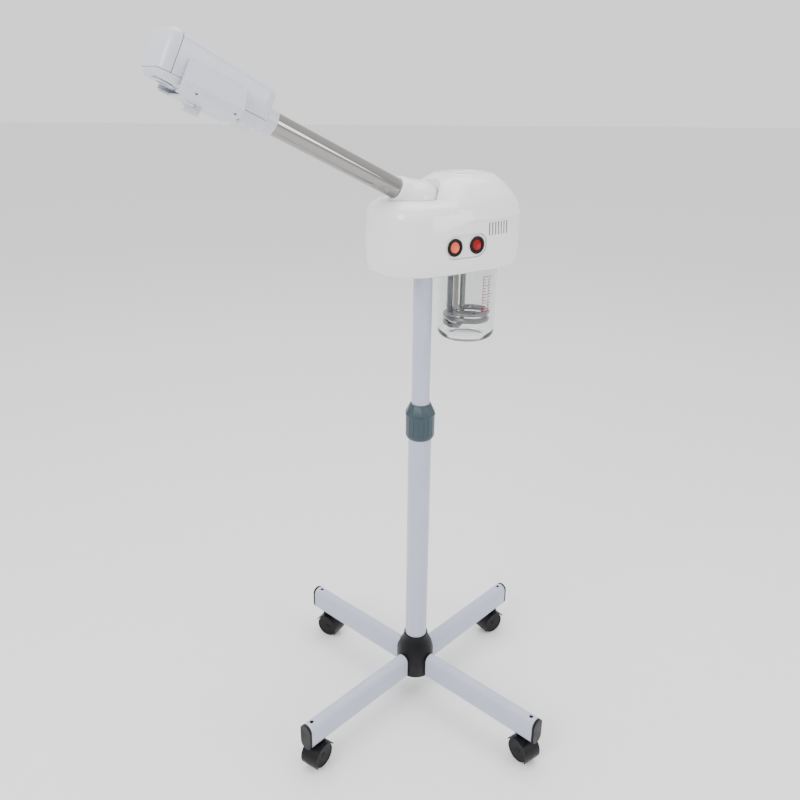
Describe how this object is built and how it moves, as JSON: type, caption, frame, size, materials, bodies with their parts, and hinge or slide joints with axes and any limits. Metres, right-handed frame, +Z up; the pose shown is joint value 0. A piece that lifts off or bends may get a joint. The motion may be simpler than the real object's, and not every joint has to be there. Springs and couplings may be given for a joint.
{
  "type": "facial steamer",
  "caption": "Facial steamer on a rolling pole stand, with a white heater housing, a glass water jar and a steam arm ending in a nozzle head.",
  "frame": {"origin": "centre of the bounding box at floor level, where the wheels touch the floor", "axes": "+Z up along the pole; the four legs point along the diagonals of X and Y; the switches face about 31 degrees from -Y towards +X"},
  "size_m": [0.46, 0.3644, 0.9463],
  "materials": {
    "tube_paint": "pale lavender-grey powder coat",
    "white_gloss": "glossy white moulded plastic",
    "head_plastic": "satin cool grey-white plastic",
    "black_plastic": "black moulded nylon",
    "wheel_tread": "black nylon wheel",
    "clamp_plastic": "slate blue-grey plastic",
    "chrome": "polished chrome",
    "steel": "bright steel",
    "glass": "clear glass",
    "lit_red": "lit translucent red",
    "deep_red": "translucent deep red",
    "gasket_rubber": "cream silicone rubber",
    "circuit_green": "green circuit board"
  },
  "bodies": {
    "base": {"hub": "black_plastic", "hub_bolt": "steel", "lower_tube": "tube_paint", "clamp_sleeve": "clamp_plastic", "collet": "black_plastic", "leg_rear_right": "tube_paint", "leg_rear_left": "tube_paint", "leg_front_left": "tube_paint", "leg_front_right": "tube_paint", "end_cap_rear_right": "black_plastic", "end_cap_rear_left": "black_plastic", "end_cap_front_left": "black_plastic", "end_cap_front_right": "black_plastic"},
    "caster_rear_right": {"caster_hood_rear_right": "black_plastic", "caster_axle_rear_right": "steel"},
    "wheel_a_rear_right": {"wheel_a_rear_right": "wheel_tread"},
    "wheel_b_rear_right": {"wheel_b_rear_right": "wheel_tread"},
    "caster_rear_left": {"caster_hood_rear_left": "black_plastic", "caster_axle_rear_left": "steel"},
    "wheel_a_rear_left": {"wheel_a_rear_left": "wheel_tread"},
    "wheel_b_rear_left": {"wheel_b_rear_left": "wheel_tread"},
    "caster_front_left": {"caster_hood_front_left": "black_plastic", "caster_axle_front_left": "steel"},
    "wheel_a_front_left": {"wheel_a_front_left": "wheel_tread"},
    "wheel_b_front_left": {"wheel_b_front_left": "wheel_tread"},
    "caster_front_right": {"caster_hood_front_right": "black_plastic", "caster_axle_front_right": "steel"},
    "wheel_a_front_right": {"wheel_a_front_right": "wheel_tread"},
    "wheel_b_front_right": {"wheel_b_front_right": "wheel_tread"},
    "clamp_nut": {"clamp_nut": "clamp_plastic"},
    "mast": {"upper_tube": "tube_paint", "glide_plug": "black_plastic"},
    "housing": {"housing_cover": "white_gloss", "housing_base": "white_gloss", "pole_socket": "white_gloss", "switch_plate": "white_gloss", "power_switch_bezel": "black_plastic", "ozone_switch_bezel": "black_plastic", "jar_collar": "white_gloss", "jar_gasket": "gasket_rubber", "heater_coil": "steel", "heater_flange": "white_gloss", "thermostat_tube": "gasket_rubber", "circuit_board": "circuit_green", "cord_gland": "black_plastic", "steam_hose": "gasket_rubber", "filler_funnel": "white_gloss"},
    "power_rocker": {"power_rocker": "lit_red"},
    "ozone_rocker": {"ozone_rocker": "deep_red"},
    "filler_lid": {"filler_lid": "white_gloss"},
    "jar": {"glass_jar": "glass"},
    "arm": {"arm_elbow": "white_gloss", "arm_tube": "chrome", "head_ferrule": "head_plastic"},
    "head": {"head_upper_shell": "head_plastic", "head_lower_shell": "head_plastic", "head_front_cap": "head_plastic", "ozone_lamp": "glass", "nozzle_outlet": "head_plastic"},
    "nozzle_hood": {"nozzle_hood": "head_plastic"}
  },
  "joints": [
    {"name": "caster_swivel_rear_right", "type": "hinge", "parent": "base", "child": "caster_rear_right", "pos_m": [0.20467, 0.15712, 0.045], "axis": [0, 0, 1], "continuous": true},
    {"name": "wheel_spin_a_rear_right", "type": "hinge", "parent": "caster_rear_right", "child": "wheel_a_rear_right", "pos_m": [0.20132, 0.15494, 0.018], "axis": [0.5446, -0.8387, 0], "continuous": true},
    {"name": "wheel_spin_b_rear_right", "type": "hinge", "parent": "caster_rear_right", "child": "wheel_b_rear_right", "pos_m": [0.20132, 0.15494, 0.018], "axis": [0.5446, -0.8387, 0], "continuous": true},
    {"name": "caster_swivel_rear_left", "type": "hinge", "parent": "base", "child": "caster_rear_left", "pos_m": [-0.0817, 0.15712, 0.045], "axis": [0, 0, 1], "continuous": true},
    {"name": "wheel_spin_a_rear_left", "type": "hinge", "parent": "caster_rear_left", "child": "wheel_a_rear_left", "pos_m": [-0.07835, 0.15494, 0.018], "axis": [0.5446, 0.8387, 0], "continuous": true},
    {"name": "wheel_spin_b_rear_left", "type": "hinge", "parent": "caster_rear_left", "child": "wheel_b_rear_left", "pos_m": [-0.07835, 0.15494, 0.018], "axis": [0.5446, 0.8387, 0], "continuous": true},
    {"name": "caster_swivel_front_left", "type": "hinge", "parent": "base", "child": "caster_front_left", "pos_m": [-0.0817, -0.12926, 0.045], "axis": [0, 0, 1], "continuous": true},
    {"name": "wheel_spin_a_front_left", "type": "hinge", "parent": "caster_front_left", "child": "wheel_a_front_left", "pos_m": [-0.08411, -0.13246, 0.018], "axis": [0.7986, -0.6018, 0], "continuous": true},
    {"name": "wheel_spin_b_front_left", "type": "hinge", "parent": "caster_front_left", "child": "wheel_b_front_left", "pos_m": [-0.08411, -0.13246, 0.018], "axis": [0.7986, -0.6018, 0], "continuous": true},
    {"name": "caster_swivel_front_right", "type": "hinge", "parent": "base", "child": "caster_front_right", "pos_m": [0.20467, -0.12926, 0.045], "axis": [0, 0, 1], "continuous": true},
    {"name": "wheel_spin_a_front_right", "type": "hinge", "parent": "caster_front_right", "child": "wheel_a_front_right", "pos_m": [0.20691, -0.13258, 0.018], "axis": [0.829, 0.5592, 0], "continuous": true},
    {"name": "wheel_spin_b_front_right", "type": "hinge", "parent": "caster_front_right", "child": "wheel_b_front_right", "pos_m": [0.20691, -0.13258, 0.018], "axis": [0.829, 0.5592, 0], "continuous": true},
    {"name": "clamp_twist", "type": "hinge", "parent": "base", "child": "clamp_nut", "pos_m": [0.06148, 0.01393, 0.483], "axis": [0, 0, 1], "range_deg": [0, 70]},
    {"name": "mast_slide", "type": "slide", "parent": "base", "child": "mast", "axis": [0, 0, 1], "range_m": [-0.165, 0.16]},
    {"name": "housing_swivel", "type": "hinge", "parent": "mast", "child": "housing", "pos_m": [0.06148, 0.01393, 0.7], "axis": [0, 0, 1], "continuous": true},
    {"name": "power_switch_rock", "type": "hinge", "parent": "housing", "child": "power_rocker", "pos_m": [0.09468, -0.03258, 0.713], "axis": [0.8526, 0.5225, 0], "range_deg": [0, 16]},
    {"name": "ozone_switch_rock", "type": "hinge", "parent": "housing", "child": "ozone_rocker", "pos_m": [0.12367, -0.01482, 0.713], "axis": [0.8526, 0.5225, 0], "range_deg": [0, 16]},
    {"name": "filler_lid_lift", "type": "slide", "parent": "housing", "child": "filler_lid", "axis": [0, 0, 1], "range_m": [0, 0.06]},
    {"name": "jar_lower", "type": "slide", "parent": "housing", "child": "jar", "axis": [0, 0, -1], "range_m": [0, 0.15]},
    {"name": "arm_swivel", "type": "hinge", "parent": "housing", "child": "arm", "pos_m": [0.04955, 0.00661, 0.766], "axis": [0, 0, 1], "range_deg": [-60, 60]},
    {"name": "head_roll", "type": "hinge", "parent": "arm", "child": "head", "pos_m": [-0.12205, -0.09854, 0.86435], "axis": [-0.7647, -0.4686, 0.4423], "range_deg": [-170, 170]},
    {"name": "nozzle_hood_tilt", "type": "hinge", "parent": "head", "child": "nozzle_hood", "pos_m": [-0.1523, -0.11708, 0.86022], "axis": [0.5225, -0.8526, 0], "range_deg": [0, 30]}
  ]
}
